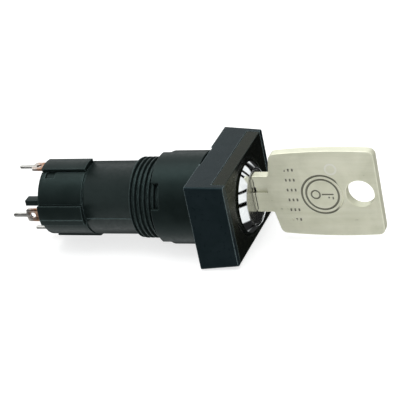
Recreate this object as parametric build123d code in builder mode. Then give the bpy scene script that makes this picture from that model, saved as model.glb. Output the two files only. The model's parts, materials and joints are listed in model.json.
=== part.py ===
from build123d import *
from math import cos, radians, sin, tan
import os

os.makedirs("parts", exist_ok=True)

# Panel key switch for a 16 mm hole, turned and withdrawn by its own key.
# Millimetres. The switch axis is Y: the key side faces -Y, the terminals point to +Y, +Z is up.
# The origin is on the axis in the plane where the bezel seats on the panel.

# --- driving dimensions: outside -----------------------------------------------------------
bezel_width = 25.0
bezel_height = 18.0
bezel_depth = 7.6
bezel_draft = 3.5
bezel_edge_radius = 0.5
face_plate_depth = 2.6
cheek_width = 1.3
seat_relief_diameter = 19.2
seat_relief_depth = 0.3

thread_diameter = 16.0
thread_pitch = 1.0
thread_crest = 0.2
thread_root = 0.15
thread_flank_angle = 30.0
sleeve_length = 14.5
barrel_diameter = 14.5
barrel_length = 10.0
housing_length = 10.0

nut_diameter = 18.26
nut_length = 9.5
nut_notches = 4
nut_notch_width = 5.2
nut_notch_depth = 1.7
nut_notch_angle = 60.0

rib_diameter = 15.8
rib_half_angle = 16.0
housing_groove_width = 0.5
housing_groove_depth = 0.35

# --- driving dimensions: lock --------------------------------------------------------------
ring_diameter = 13.8
ring_inner_diameter = 11.2
ring_proud = 1.4
ring_bevel = 0.8
ring_dome_in = 0.45
ring_dome_back = 0.3
face_recess_diameter = 15.4
face_recess_depth = 0.5
rotor_diameter = 10.9
rotor_front = 1.3
shell_diameter = 12.8
shell_length = 14.0
shell_back_wall = 1.0
flange_diameter = 15.2
flange_thickness = 1.4
gasket_thickness = 0.4
web_thickness = 0.8
tail_diameter = 5.0
tail_round_length = 1.0
rotor_chamfer = 0.3
clip_thickness = 0.5
clip_diameter = 7.2
clip_groove_depth = 0.6

wafer_count = 6
wafer_pitch = 1.9
wafer_first = -4.0
wafer_thickness = 1.0
wafer_width = 4.8
wafer_lift = 0.4
wafer_groove_depth = 0.55
wafer_spring_radius = 0.32
wafer_spring_wire = 0.13
wafer_spring_turns = 5
wafer_ear_length = 1.0
wafer_ear_root = 2.0
wafer_ear_below = 0.5
wafer_ear_above = 0.4
wafer_pocket_depth = 3.3
wafer_pocket_half = 0.45

key_thickness = 2.0
key_offset = 1.1
bow_length = 21.4
bow_height_root = 17.0
bow_height_middle = 18.2
bow_height_end = 17.6
bow_corner_radius = 1.3
bow_shoulder = 0.85
neck_height = 7.8
neck_length = 3.45
blade_height = 6.6
blade_rise = 0.5
blade_stop = 1.4
blade_taper = 0.35
key_cut_flat = 0.4
key_cut_depths = [1.0, 1.5, 0.7, 1.3, 0.9, 1.4]
key_hole_diameter = 5.5
key_hole_edge = 3.7
groove_height = 1.2
groove_depth = 0.45
groove_rise = 0.3
groove_start = 0.5

# --- driving dimensions: switch works ------------------------------------------------------
works_bore_diameter = 12.6
drum_length = 6.5
drum_land_length = 5.0
drum_waist_diameter = 11.2
drum_square = 3.4
tail_length = 5.5
cam_rise = 1.5
cam_turn = 90.0
cam_run_on = 6.0
cam_foot = 0.2
cam_inner_radius = 3.6
cam_steps = 12
cam_root = 0.2
ball_diameter = 1.6
ball_station = 3.6
ball_engagement = 0.25
ball_pocket_room = 0.2
detent_floor = 3.0
detent_spring_radius = 0.5
detent_spring_wire = 0.16
pad_half_angle = 4.0
disc_diameter = 11.0
disc_thickness = 1.2
disc_setback = 0.7
ear_width = 1.6
stem_diameter = 4.4
pin_diameter = 2.0
spigot_length = 6.0
guide_wall = 1.0
bridge_thickness = 0.4
bridge_width = 2.4
bridge_length = 11.0
finger_length = 2.5
contact_diameter = 1.8
contact_height = 0.35
contact_radius = 4.4
contact_margin = 0.3
tab_setback = 1.5
moving_height = 0.2
washer_thickness = 0.5
washer_diameter = 3.8
spring_wire = 0.4
spring_diameter = 3.4
spring_turns = 5

housing_bore_diameter = 12.0
base_thickness = 1.2
post_length = 6.3
post_height = 1.2
post_width = 2.0
post_drop = 0.85
terminal_radius = 7.0
terminal_width = 2.8
terminal_thickness = 0.5
lug_length = 2.8
tip_length = 3.0
tip_width = 0.8
eyelet_diameter = 1.1
window_angle = 112.0
window_width = 1.9
window_length = 2.0
window_inset = 2.1
latch_root = 0.7
latch_depth = 0.35

# --- named clearances ----------------------------------------------------------------------
running = 0.05
sliding = 0.05
nut_clearance = 0.04
assembly_gap = 0.05
press_clearance = 0.02
drum_gap = 0.2
clip_room = 0.4
wafer_window_clearance = 0.12
groove_clearance = 0.3
latch_clearance = 0.1
overcut = 1.0
cam_clearance = 0.1

# --- stations along the axis ---------------------------------------------------------------
front = -bezel_depth
plate_back = front + face_plate_depth
rotor_face = front - rotor_front
shell_end = plate_back + shell_length
web_end = shell_end + web_thickness
barrel_end = sleeve_length + barrel_length
housing_end = barrel_end + housing_length
drum_start = web_end + drum_gap
drum_end = drum_start + drum_length
base_start = housing_end - base_thickness
spigot_start = barrel_end - spigot_length
guide_start = barrel_end - guide_wall
bow_root = rotor_face - assembly_gap - neck_length
ball_y = drum_start + ball_station

rotor_radius = rotor_diameter / 2
rotor_end = shell_end - shell_back_wall - running
wafer_radius = rotor_radius - 0.2
wafer_slot_half = wafer_width / 2 + sliding
blade_low = key_offset - neck_height / 2 + blade_rise
blade_high = blade_low + blade_height
blade_end = rotor_end - blade_stop
slot_margin = 0.08
window_margin = wafer_lift + sliding
ear_reach = wafer_width / 2 + wafer_ear_length
spring_offset = wafer_width / 2 + wafer_ear_length / 2 + press_clearance
wafer_upper_stations = [wafer_first + i * wafer_pitch for i in range(0, wafer_count, 2)]
wafer_lower_stations = [wafer_first + i * wafer_pitch for i in range(1, wafer_count, 2)]

plunger_tip = drum_end + cam_foot + cam_clearance
disc_front = drum_end + cam_foot + cam_rise + disc_setback
disc_back = disc_front + disc_thickness
nc_tab_front = barrel_end + tab_setback
bridge_front = nc_tab_front + terminal_thickness + contact_height + assembly_gap + moving_height
bridge_back = bridge_front + bridge_thickness
no_contact_front = bridge_back + moving_height + cam_rise + assembly_gap
no_tab_front = no_contact_front + contact_height
washer_back = bridge_back + assembly_gap + washer_thickness


def across(y):
    """Sketch plane square to the axis at station y: X right, Z up, extrudes towards the key."""
    return Plane.XZ.offset(-y)


def finish(builder, name):
    """Name a finished piece and write it."""
    builder.part.label = name
    export_step(builder.part, f"parts/{name}.step")


def cylinder_between(radius, y0, y1, mode=Mode.ADD):
    """A round on the switch axis from station y0 back to y1."""
    with BuildSketch(across(y1)) as profile:
        Circle(radius)
    extrude(profile.sketch, amount=y1 - y0, mode=mode)


def slab(x0, x1, y0, y1, z0, z1, mode=Mode.ADD):
    """A rectangular block between two stations."""
    with BuildSketch(across(y1)) as profile:
        with Locations(((x0 + x1) / 2, (z0 + z1) / 2)):
            Rectangle(x1 - x0, z1 - z0)
    extrude(profile.sketch, amount=y1 - y0, mode=mode)


def sector(inner, outer, half_angle, middle, y0, y1, mode=Mode.ADD):
    """A ring sector on the switch axis, centred on an angle measured from +X towards +Z."""
    a0 = radians(middle - half_angle)
    a1 = radians(middle + half_angle)
    am = radians(middle)

    def at(r, a):
        return (r * cos(a), r * sin(a))

    with BuildSketch(across(y1)) as profile:
        with BuildLine():
            ThreePointArc(at(outer, a0), at(outer, am), at(outer, a1))
            Line(at(outer, a1), at(inner, a1))
            ThreePointArc(at(inner, a1), at(inner, am), at(inner, a0))
            Line(at(inner, a0), at(outer, a0))
        make_face()
    extrude(profile.sketch, amount=y1 - y0, mode=mode)


def turned_block(width, r0, r1, y0, y1, angle, mode=Mode.ADD):
    """A block whose middle plane passes through the axis at an angle from +X towards +Z."""
    middle = (r0 + r1) / 2
    with BuildSketch(across(y1)) as profile:
        with Locations((middle * cos(radians(angle)), middle * sin(radians(angle)))):
            Rectangle(r1 - r0, width, rotation=angle)
    extrude(profile.sketch, amount=y1 - y0, mode=mode)


def tapered_block():
    """The bezel's outside: drafted towards the key, with its four long edges eased."""
    with BuildSketch(across(0)) as profile:
        Rectangle(bezel_width, bezel_height)
    extrude(profile.sketch, amount=bezel_depth, taper=bezel_draft)
    long_edges = [e for e in edges() if abs(e.tangent_at(0.5).Y) > 0.9]
    fillet(long_edges, bezel_edge_radius)


def coil(radius, wire, length, turns, base_plane):
    """A round-wire compression spring that stands on a plane."""
    path = Helix(pitch=(length - wire) / turns, height=length - wire, radius=radius)
    start = Plane(origin=path @ 0, z_dir=path % 0)
    with BuildPart() as spring:
        with BuildSketch(start):
            Circle(wire / 2)
        sweep(path=path, is_frenet=True)
    return base_plane * (Pos(0, 0, wire / 2) * spring.part)


front_half_width = bezel_width / 2 - bezel_depth * tan(radians(bezel_draft))
channel_half = front_half_width - cheek_width

# --- operator body: bezel, threaded sleeve and barrel in one moulding ------------------------
sleeve_radius = thread_diameter / 2
flank = (thread_pitch - thread_crest - thread_root) / 2
thread_depth = flank / tan(radians(thread_flank_angle))
root_radius = sleeve_radius - thread_depth
shell_bore = shell_diameter / 2 + assembly_gap
flange_bore = flange_diameter / 2 + assembly_gap
pocket_floor = plate_back + flange_thickness + gasket_thickness
works_bore = works_bore_diameter / 2
ball_offset = works_bore - ball_diameter / 2 + ball_engagement
groove_count = int((sleeve_length - thread_pitch) / thread_pitch)

with BuildPart() as operator_body:
    tapered_block()
    slab(-channel_half, channel_half, front - 1, plate_back, -bezel_height, bezel_height, Mode.SUBTRACT)
    cylinder_between(seat_relief_diameter / 2, -seat_relief_depth, 1, Mode.SUBTRACT)
    cylinder_between(sleeve_radius, -seat_relief_depth, sleeve_length)
    cylinder_between(barrel_diameter / 2, sleeve_length, barrel_end)
    with BuildSketch(Plane.XY):
        for i in range(groove_count):
            y = thread_pitch * (i + 1)
            with BuildLine():
                Polyline(
                    (sleeve_radius + thread_crest, y - thread_root / 2 - flank),
                    (sleeve_radius, y - thread_root / 2 - flank),
                    (root_radius, y - thread_root / 2),
                    (root_radius, y + thread_root / 2),
                    (sleeve_radius, y + thread_root / 2 + flank),
                    (sleeve_radius + thread_crest, y + thread_root / 2 + flank),
                    close=True,
                )
            make_face()
    revolve(axis=Axis.Y, mode=Mode.SUBTRACT)
    cylinder_between(flange_bore, front - 1, pocket_floor, Mode.SUBTRACT)
    cylinder_between(shell_bore, pocket_floor, shell_end, Mode.SUBTRACT)
    cylinder_between(clip_diameter / 2 + clip_room, shell_end, web_end, Mode.SUBTRACT)
    cylinder_between(works_bore, web_end, barrel_end, Mode.SUBTRACT)
    with BuildSketch(Plane.XY):
        with Locations((ball_offset, ball_y)):
            Circle(ball_diameter / 2 + running)
    revolve(axis=Axis.Y, mode=Mode.SUBTRACT)
    with Locations(*[(ball_offset * cos(radians(a)), ball_y, ball_offset * sin(radians(a)))
                     for a in range(0, 360, 90)]):
        Sphere(ball_diameter / 2 + ball_pocket_room, mode=Mode.SUBTRACT)
finish(operator_body, "operator_body")

# --- face plate: the front strip of the bezel between its two cheeks -------------------------
with BuildPart() as face_plate:
    tapered_block()
    slab(-bezel_width, bezel_width, plate_back, 1, -bezel_height, bezel_height, Mode.SUBTRACT)
    slab(channel_half, bezel_width, front - 1, 1, -bezel_height, bezel_height, Mode.SUBTRACT)
    slab(-bezel_width, -channel_half, front - 1, 1, -bezel_height, bezel_height, Mode.SUBTRACT)
    cylinder_between(ring_diameter / 2 + assembly_gap, front - 1, plate_back + 1, Mode.SUBTRACT)
    cylinder_between(face_recess_diameter / 2, front - 1, front + face_recess_depth, Mode.SUBTRACT)
finish(face_plate, "face_plate")

# --- ring nut with four spanner notches ------------------------------------------------------
with BuildPart() as ring_nut:
    cylinder_between(nut_diameter / 2, 0, nut_length)
    cylinder_between(sleeve_radius + nut_clearance, -1, nut_length + 1, Mode.SUBTRACT)
    for i in range(nut_notches):
        angle = nut_notch_angle + i * 360 / nut_notches
        turned_block(nut_notch_width, 5, nut_diameter, nut_length - nut_notch_depth, nut_length + 1, angle,
                     Mode.SUBTRACT)
finish(ring_nut, "ring_nut")

# --- lock trim ring: polished, domed outside edge, stands proud of the face ------------------
ring_outer = ring_diameter / 2
ring_inner = ring_inner_diameter / 2
ring_front = front - ring_proud
with BuildPart() as lock_trim_ring:
    with BuildSketch(Plane.XY):
        with BuildLine():
            Polyline((ring_inner, ring_front), (ring_inner, plate_back), (ring_outer, plate_back),
                     (ring_outer, ring_front + ring_bevel))
            ThreePointArc((ring_outer, ring_front + ring_bevel),
                          (ring_outer - ring_dome_in, ring_front + ring_dome_back), (ring_inner, ring_front))
        make_face()
    revolve(axis=Axis.Y)
finish(lock_trim_ring, "lock_trim_ring")

# --- lock shell: flanged case that the rotor turns in, with grooves for the wafers -----------
with BuildPart() as lock_shell:
    cylinder_between(shell_diameter / 2, plate_back, shell_end)
    cylinder_between(flange_diameter / 2, plate_back, plate_back + flange_thickness)
    cylinder_between(rotor_radius + running, plate_back - 1, shell_end - shell_back_wall, Mode.SUBTRACT)
    cylinder_between(tail_diameter / 2 + running, plate_back - 1, shell_end + 1, Mode.SUBTRACT)
    for angle in range(0, 360, 90):
        turned_block(wafer_width + groove_clearance, 0, rotor_radius + wafer_groove_depth,
                     wafer_first - wafer_thickness, shell_end - shell_back_wall, angle, Mode.SUBTRACT)
finish(lock_shell, "lock_shell")

with BuildPart() as shell_gasket:
    cylinder_between(flange_diameter / 2, plate_back + flange_thickness, pocket_floor)
    cylinder_between(shell_bore + assembly_gap, plate_back, shell_end, Mode.SUBTRACT)
finish(shell_gasket, "shell_gasket")

# --- lock rotor: key slot, wafer slots, spring pockets and the square tail -------------------
tail_round_end = shell_end + tail_round_length
tail_end = tail_round_end + tail_length
clip_start = shell_end + assembly_gap
clip_groove = tail_diameter / 2 - clip_groove_depth


def wafer_cuts(y, side):
    """One wafer's slot, ear slot and spring pocket. Side is 1 for one that lifts, -1 for one that drops."""
    half = wafer_thickness / 2 + sliding
    slab(-wafer_slot_half, wafer_slot_half, y - half, y + half, -rotor_radius, rotor_radius, Mode.SUBTRACT)
    ear_low, ear_high = sorted((-(wafer_ear_below + sliding) * side,
                                (wafer_ear_above + sliding + window_margin) * side))
    ear_in, ear_out = sorted((wafer_ear_root * side, (ear_reach + sliding) * side))
    slab(ear_in, ear_out, y - half, y + half, ear_low, ear_high, Mode.SUBTRACT)
    pocket_low, pocket_high = sorted((-wafer_pocket_depth * side, 0.0))
    slab(spring_offset * side - wafer_pocket_half, spring_offset * side + wafer_pocket_half,
         y - wafer_pocket_half, y + wafer_pocket_half, pocket_low, pocket_high, Mode.SUBTRACT)


with BuildPart() as lock_rotor:
    cylinder_between(rotor_radius, rotor_face, rotor_end)
    chamfer(edges().group_by(Axis.Y)[0], rotor_chamfer)
    cylinder_between(tail_diameter / 2, rotor_end, tail_round_end)
    slab(-drum_square / 2, drum_square / 2, tail_round_end, tail_end, -drum_square / 2, drum_square / 2)
    slab(-key_thickness / 2 - slot_margin, key_thickness / 2 + slot_margin, rotor_face - overcut,
         blade_end + blade_stop / 2, blade_low - slot_margin, blade_high + slot_margin, Mode.SUBTRACT)
    for y in wafer_upper_stations:
        wafer_cuts(y, 1)
    for y in wafer_lower_stations:
        wafer_cuts(y, -1)
    with BuildSketch(across(clip_start + clip_thickness + press_clearance)):
        Circle(tail_diameter / 2 + overcut)
        Circle(clip_groove, mode=Mode.SUBTRACT)
    extrude(amount=clip_thickness + 2 * press_clearance, mode=Mode.SUBTRACT)
finish(lock_rotor, "lock_rotor")

with BuildPart() as rotor_clip:
    cylinder_between(clip_diameter / 2, clip_start, clip_start + clip_thickness)
    cylinder_between(clip_groove + press_clearance, 0, web_end, Mode.SUBTRACT)
    slab(-clip_groove, clip_groove, 0, web_end, -clip_diameter, 0, Mode.SUBTRACT)
finish(rotor_clip, "rotor_clip")


def wafer(y, side):
    """One tumbler wafer: a plate with a window for the blade and a side ear for its spring."""
    slab(-wafer_width / 2, wafer_width / 2, y - wafer_thickness / 2, y + wafer_thickness / 2,
         -rotor_radius, rotor_radius)
    ear_in, ear_out = sorted((wafer_ear_root * side, ear_reach * side))
    ear_low, ear_high = sorted((-wafer_ear_below * side, wafer_ear_above * side))
    slab(ear_in, ear_out, y - wafer_thickness / 2, y + wafer_thickness / 2, ear_low, ear_high)
    low = blade_low - (window_margin if side > 0 else slot_margin)
    high = blade_high + (window_margin if side < 0 else slot_margin)
    window_half = key_thickness / 2 + wafer_window_clearance
    slab(-window_half, window_half, y - wafer_thickness, y + wafer_thickness, low, high, Mode.SUBTRACT)


def wafer_rack(stations, side, name):
    """All the wafers that move the same way, as separate plates in one piece group."""
    with BuildPart() as rack:
        for y in stations:
            wafer(y, side)
        with BuildSketch(across(rotor_end)) as round_off:
            Circle(wafer_radius)
        extrude(round_off.sketch, amount=rotor_end - rotor_face, mode=Mode.INTERSECT)
    finish(rack, name)


wafer_rack(wafer_upper_stations, 1, "wafers_upper")
wafer_rack(wafer_lower_stations, -1, "wafers_lower")


def wafer_spring_row(stations, side, name):
    """The wafers' coil springs, one under each ear."""
    length = wafer_pocket_depth - wafer_ear_below - 3 * press_clearance
    start = press_clearance - wafer_pocket_depth if side > 0 else wafer_ear_below + press_clearance
    springs = [
        coil(wafer_spring_radius, wafer_spring_wire, length, wafer_spring_turns,
             Plane(origin=(spring_offset * side, y, start), z_dir=(0, 0, 1)).location)
        for y in stations
    ]
    with BuildPart() as row:
        add(springs)
    finish(row, name)


wafer_spring_row(wafer_upper_stations, 1, "wafer_springs_upper")
wafer_spring_row(wafer_lower_stations, -1, "wafer_springs_lower")

# --- key: bow with a ring hole, neck, and a blade cut for the wafers --------------------------
bow_end = bow_root - bow_length
key_half = key_thickness / 2
with BuildPart() as key:
    with BuildSketch(Plane.YZ):
        with BuildLine():
            shoulder = bow_root - bow_shoulder
            middle = (shoulder + bow_end) / 2
            top = ThreePointArc((shoulder, key_offset + bow_height_root / 2),
                                (middle, key_offset + bow_height_middle / 2),
                                (bow_end, key_offset + bow_height_end / 2))
            bottom = ThreePointArc((shoulder, key_offset - bow_height_root / 2),
                                   (middle, key_offset - bow_height_middle / 2),
                                   (bow_end, key_offset - bow_height_end / 2))
            Line(top @ 1, bottom @ 1)
            Polyline(top @ 0, (bow_root, key_offset + neck_height / 2),
                     (bow_root, key_offset - neck_height / 2), bottom @ 0)
        make_face()
        fillet(vertices().group_by(Axis.X)[0], bow_corner_radius)
        fillet(vertices().filter_by_position(Axis.X, shoulder, shoulder), bow_corner_radius)
        with Locations((bow_end + key_hole_edge, key_offset)):
            Circle(key_hole_diameter / 2, mode=Mode.SUBTRACT)
    extrude(amount=key_half, both=True)
    slab(-key_half, key_half, bow_root - bow_corner_radius, rotor_face - assembly_gap,
         key_offset - neck_height / 2, key_offset + neck_height / 2)
    slab(-key_half, key_half, rotor_face - overcut, blade_end, blade_low, blade_high)
    tip = blade_height * blade_taper
    with BuildSketch(Plane.YZ):
        for z, way in ((blade_low, 1), (blade_high, -1)):
            with BuildLine():
                Polyline((blade_end - tip, z), (blade_end + overcut, z), (blade_end + overcut, z + way * tip),
                         (blade_end, z + way * tip), close=True)
            make_face()
        for i in range(wafer_count):
            y = wafer_first + i * wafer_pitch
            depth = key_cut_depths[i]
            with BuildLine():
                Polyline((y - key_cut_flat - depth / 2, blade_low), (y - key_cut_flat, blade_low + depth),
                         (y + key_cut_flat, blade_low + depth), (y + key_cut_flat + depth / 2, blade_low),
                         close=True)
            make_face()
    extrude(amount=key_half, both=True, mode=Mode.SUBTRACT)
    groove_low = key_offset + groove_rise
    for x0, x1 in ((key_half - groove_depth, key_thickness), (-key_thickness, groove_depth - key_half)):
        slab(x0, x1, bow_root + groove_start, blade_end + overcut, groove_low, groove_low + groove_height,
             Mode.SUBTRACT)
finish(key, "key")

# --- cam drum: square on the rotor's tail, detent pockets, two ramps on its rear face ----------
drum_waist = drum_waist_diameter / 2
pad_angles = (45.0, 225.0)


def ramp_section(angle, height):
    """The ramp's cross-section on a half-plane through the axis."""
    a = radians(angle)
    plane = Plane(origin=(0, drum_end - cam_root, 0), x_dir=(cos(a), 0, sin(a)), z_dir=(-sin(a), 0, cos(a)))
    way = 1 if plane.y_dir.Y > 0 else -1
    with BuildSketch(plane) as section:
        with Locations(((cam_inner_radius + drum_waist) / 2, way * (height + cam_root) / 2)):
            Rectangle(drum_waist - cam_inner_radius, height + cam_root)
    return section.sketch.faces()[0]


def ramp(start):
    """One lobe: flat for a short run-on, a steady rise, then flat at full height."""
    rise = [cam_turn * i / cam_steps for i in range(cam_steps + 1)]
    turns = [-cam_run_on] + rise + [cam_turn + cam_run_on]
    sections = [
        ramp_section(start + t, cam_foot + cam_rise * min(max(t / cam_turn, 0), 1)) for t in turns
    ]
    return loft(sections, ruled=True, mode=Mode.PRIVATE)


with BuildPart() as cam_drum:
    cylinder_between(works_bore - running, drum_start, drum_start + drum_land_length)
    cylinder_between(drum_waist, drum_start + drum_land_length, drum_end)
    for start in pad_angles:
        add(ramp(start))
    hole_half = drum_square / 2 + sliding
    slab(-hole_half, hole_half, drum_start - overcut, tail_end + drum_gap, -hole_half, hole_half,
         Mode.SUBTRACT)
    with BuildSketch(Plane.YZ.offset(-works_bore_diameter)) as pocket:
        with Locations((ball_y, 0)):
            Circle(ball_diameter / 2 + sliding)
    extrude(pocket.sketch, amount=works_bore_diameter - detent_floor, mode=Mode.SUBTRACT)
    with BuildSketch(Plane.YZ.offset(detent_floor)) as pocket:
        with Locations((ball_y, 0)):
            Circle(ball_diameter / 2 + sliding)
    extrude(pocket.sketch, amount=works_bore_diameter, mode=Mode.SUBTRACT)
finish(cam_drum, "cam_drum")

with BuildPart() as detent_balls:
    with Locations((ball_offset, ball_y, 0), (-ball_offset, ball_y, 0)):
        Sphere(ball_diameter / 2)
finish(detent_balls, "detent_balls")

detent_spring_length = ball_offset - ball_diameter / 2 - detent_floor - 2 * assembly_gap
detent_coils = [
    coil(detent_spring_radius, detent_spring_wire, detent_spring_length, spring_turns - 1,
         Plane(origin=((detent_floor + assembly_gap) * way, ball_y, 0), x_dir=(0, 1, 0),
               z_dir=(way, 0, 0)).location)
    for way in (1, -1)
]
with BuildPart() as detent_springs:
    add(detent_coils)
finish(detent_springs, "detent_springs")

# --- contact housing: spigot in the barrel, guide wall, ribbed rear case -----------------------
housing_radius = barrel_diameter / 2
housing_bore = housing_bore_diameter / 2
spigot_bore = disc_diameter / 2 + groove_clearance / 2
terminal_angles = {"common": 180.0, "normally_closed": 90.0, "normally_open": 270.0}
terminal_outer = terminal_radius + terminal_thickness / 2
terminal_inner = terminal_radius - terminal_thickness / 2
window_y = housing_end - window_inset
with BuildPart() as contact_housing:
    cylinder_between(works_bore - assembly_gap, spigot_start, barrel_end)
    cylinder_between(housing_radius, barrel_end, housing_end)
    with BuildSketch(across(barrel_end + housing_groove_width)) as ring:
        Circle(housing_radius + 1)
        Circle(housing_radius - housing_groove_depth, mode=Mode.SUBTRACT)
    extrude(ring.sketch, amount=housing_groove_width, mode=Mode.SUBTRACT)
    for angle in range(0, 360, 90):
        sector(housing_bore + groove_clearance, rib_diameter / 2, rib_half_angle, angle, barrel_end,
               housing_end)
    cylinder_between(spigot_bore, spigot_start - 1, guide_start, Mode.SUBTRACT)
    cylinder_between(stem_diameter / 2 + running, guide_start - 1, barrel_end + 1, Mode.SUBTRACT)
    cylinder_between(housing_bore, barrel_end, housing_end + 1, Mode.SUBTRACT)
    for angle in (0, 180):
        turned_block(ear_width + 2 * sliding, 0, works_bore, spigot_start - overcut,
                     disc_back + cam_rise + groove_clearance, angle, Mode.SUBTRACT)
    for angle in terminal_angles.values():
        turned_block(terminal_width + 2 * sliding, housing_bore - 1, terminal_outer + sliding,
                     nc_tab_front - sliding, housing_end + 1, angle, Mode.SUBTRACT)
    for angle in (window_angle, window_angle + 180):
        turned_block(window_width, housing_bore - 1, housing_radius + 1, window_y - window_length / 2,
                     window_y + window_length / 2, angle, Mode.SUBTRACT)
finish(contact_housing, "contact_housing")

# --- terminal base: closes the rear, snaps into the two windows, carries the locating post ------
latch_front = window_y - (window_length - latch_clearance) / 2
latch_back = window_y + (window_length - latch_clearance) / 2
with BuildPart() as terminal_base:
    cylinder_between(housing_bore - assembly_gap, base_start, housing_end)
    for angle in terminal_angles.values():
        turned_block(terminal_width, 0, terminal_inner - assembly_gap, base_start, housing_end, angle)
    for angle in (window_angle, window_angle + 180):
        turned_block(window_width - latch_clearance, housing_bore - latch_root, housing_bore - assembly_gap,
                     latch_front, base_start, angle)
        turned_block(window_width - latch_clearance, housing_bore - latch_root, housing_radius - latch_depth,
                     latch_front, latch_back, angle)
    cylinder_between(spring_diameter / 2 + spring_wire, base_start - 1, base_start, Mode.SUBTRACT)
    slab(-post_width / 2, post_width / 2, base_start, housing_end + post_length,
         -post_drop - post_height / 2, -post_drop + post_height / 2)
finish(terminal_base, "terminal_base")


def terminal(angle, start, tab_inner):
    """A stamped terminal: a flat lug with an eyelet and a pin tip outside, an optional tab inside."""
    lug_end = housing_end + lug_length
    turned_block(terminal_width, terminal_inner, terminal_outer, start, lug_end, angle)
    turned_block(tip_width, terminal_inner, terminal_outer, housing_end, lug_end + tip_length, angle)
    if tab_inner:
        turned_block(terminal_width, tab_inner, terminal_outer, start, start + terminal_thickness, angle)
    a = radians(angle)
    eyelet_plane = Plane(origin=(0, housing_end + lug_length / 2, 0), x_dir=(0, 1, 0),
                         z_dir=(cos(a), 0, sin(a)))
    with BuildSketch(eyelet_plane) as eyelet:
        Circle(eyelet_diameter / 2)
    extrude(eyelet.sketch, amount=housing_radius + 2, mode=Mode.SUBTRACT)


contact_tab = contact_radius - contact_diameter / 2 - contact_margin
with BuildPart() as common_terminal:
    terminal(terminal_angles["common"], nc_tab_front, None)
finish(common_terminal, "common_terminal")

with BuildPart() as normally_closed_terminal:
    terminal(terminal_angles["normally_closed"], nc_tab_front, contact_tab)
finish(normally_closed_terminal, "normally_closed_terminal")

with BuildPart() as normally_open_terminal:
    terminal(terminal_angles["normally_open"], no_tab_front, contact_tab)
finish(normally_open_terminal, "normally_open_terminal")


def contact_head(z, y0, y1):
    """A round silver contact face between two stations, above or below the axis."""
    with BuildSketch(across(y1)) as head:
        with Locations((0, z)):
            Circle(contact_diameter / 2)
    extrude(head.sketch, amount=y1 - y0)


with BuildPart() as fixed_contacts:
    contact_head(contact_radius, nc_tab_front + terminal_thickness,
                 nc_tab_front + terminal_thickness + contact_height)
    contact_head(-contact_radius, no_contact_front, no_tab_front)
finish(fixed_contacts, "fixed_contacts")

with BuildPart() as moving_contacts:
    contact_head(contact_radius, bridge_front - moving_height, bridge_front)
    contact_head(-contact_radius, bridge_back, bridge_back + moving_height)
finish(moving_contacts, "moving_contacts")

# --- contact bridge: sprung changeover blade with a wiping finger on the common terminal --------
finger_outer = terminal_inner - sliding
with BuildPart() as contact_bridge:
    slab(-bridge_width / 2, bridge_width / 2, bridge_front, bridge_back, -bridge_length / 2,
         bridge_length / 2)
    slab(-finger_outer, 0, bridge_front, bridge_back, -tip_width, tip_width)
    slab(-finger_outer, bridge_thickness - finger_outer, bridge_front, bridge_front + finger_length,
         -tip_width, tip_width)
    cylinder_between(pin_diameter / 2 + press_clearance, bridge_front - overcut, bridge_back + overcut,
                     Mode.SUBTRACT)
finish(contact_bridge, "contact_bridge")

# --- plunger: cam pads, guided disc with two ears, stem and pin -----------------------------------
with BuildPart() as plunger:
    cylinder_between(disc_diameter / 2, disc_front, disc_back)
    for angle in (0, 180):
        turned_block(ear_width, 0, works_bore - 2 * assembly_gap, disc_front, disc_back, angle)
    for angle in pad_angles:
        sector(cam_inner_radius + cam_clearance, disc_diameter / 2 - cam_clearance, pad_half_angle, angle,
               plunger_tip, disc_back)
    cylinder_between(stem_diameter / 2, disc_back, bridge_front)
    cylinder_between(pin_diameter / 2, bridge_front, washer_back)
finish(plunger, "plunger")

with BuildPart() as bridge_washer:
    cylinder_between(washer_diameter / 2, bridge_back, washer_back)
    cylinder_between(pin_diameter / 2 + press_clearance, bridge_back - overcut, washer_back + overcut,
                     Mode.SUBTRACT)
finish(bridge_washer, "bridge_washer")

spring_length = base_start - washer_back - 2 * press_clearance
plunger_coil = coil(spring_diameter / 2, spring_wire, spring_length, spring_turns,
                    Plane(origin=(0, washer_back + press_clearance, 0), x_dir=(1, 0, 0),
                          z_dir=(0, 1, 0)).location)
with BuildPart() as plunger_spring:
    add(plunger_coil)
finish(plunger_spring, "plunger_spring")
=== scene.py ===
import json
from math import atan2, ceil, cos, degrees, pi, radians, sin, tan
import bmesh
import bpy
from mathutils import Matrix, Vector


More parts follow.
